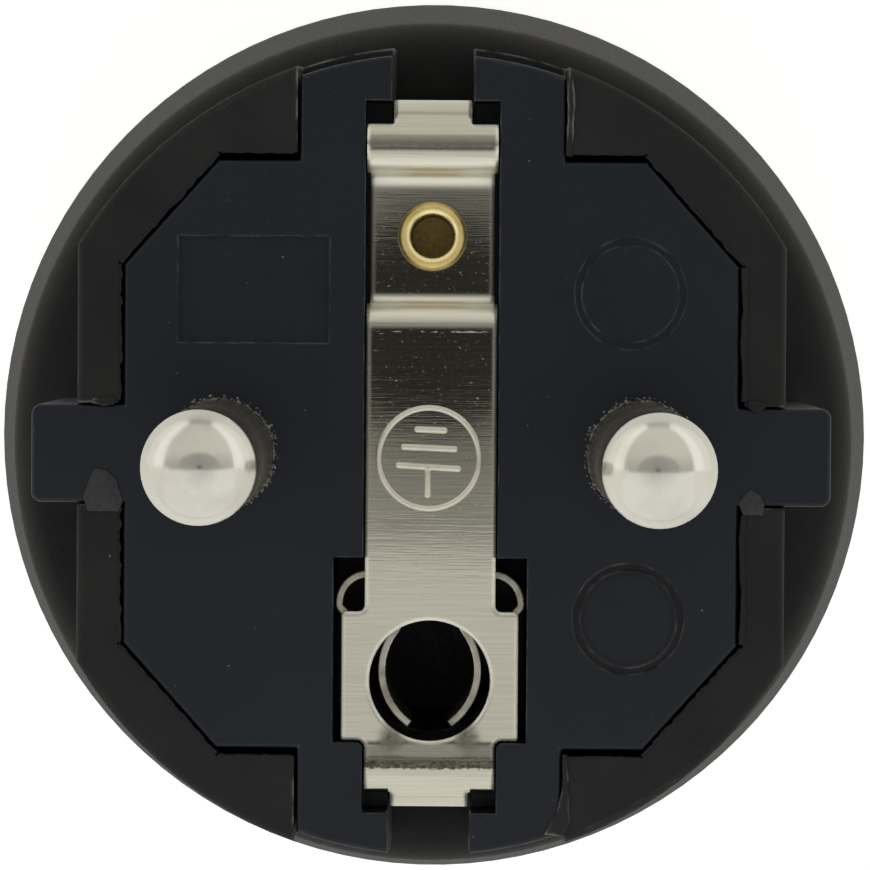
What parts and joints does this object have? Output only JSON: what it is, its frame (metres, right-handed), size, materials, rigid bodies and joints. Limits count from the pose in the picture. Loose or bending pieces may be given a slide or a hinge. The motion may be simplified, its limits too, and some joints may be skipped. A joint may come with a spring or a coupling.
{
  "type": "rubber power plug",
  "caption": "Rewireable rubber mains plug with round domed pins, an earth-pin socket, side earth contacts, a grip collar and a ringed cable tail.",
  "frame": {"origin": "centre of the flat cable end, on which the plug stands", "axes": "+Z along the plug towards the pins, +X towards the right pin, +Y towards the rivet end of the earth strap"},
  "size_m": [0.0444, 0.0444, 0.093],
  "materials": {
    "rubber": "matte moulded rubber",
    "insert": "satin hard plastic",
    "pin_metal": "bright nickel plate",
    "strap_metal": "nickel plate brushed across",
    "spring_metal": "plain spring strip",
    "brass": "plain brass",
    "screw_metal": "zinc plate"
  },
  "bodies": {
    "root": {"rubber_housing": "rubber", "contact_carrier": "insert", "terminal_block": "insert", "left_pin": "pin_metal", "right_pin": "pin_metal", "left_terminal_screw": "screw_metal", "right_terminal_screw": "screw_metal", "earth_strap": "strap_metal", "earth_spring": "spring_metal", "earth_rivet": "brass", "earth_terminal": "brass", "earth_clamp_plate": "screw_metal", "earth_terminal_screw": "screw_metal", "cord_saddle": "insert", "left_saddle_screw": "screw_metal", "right_saddle_screw": "screw_metal"}
  },
  "joints": []
}
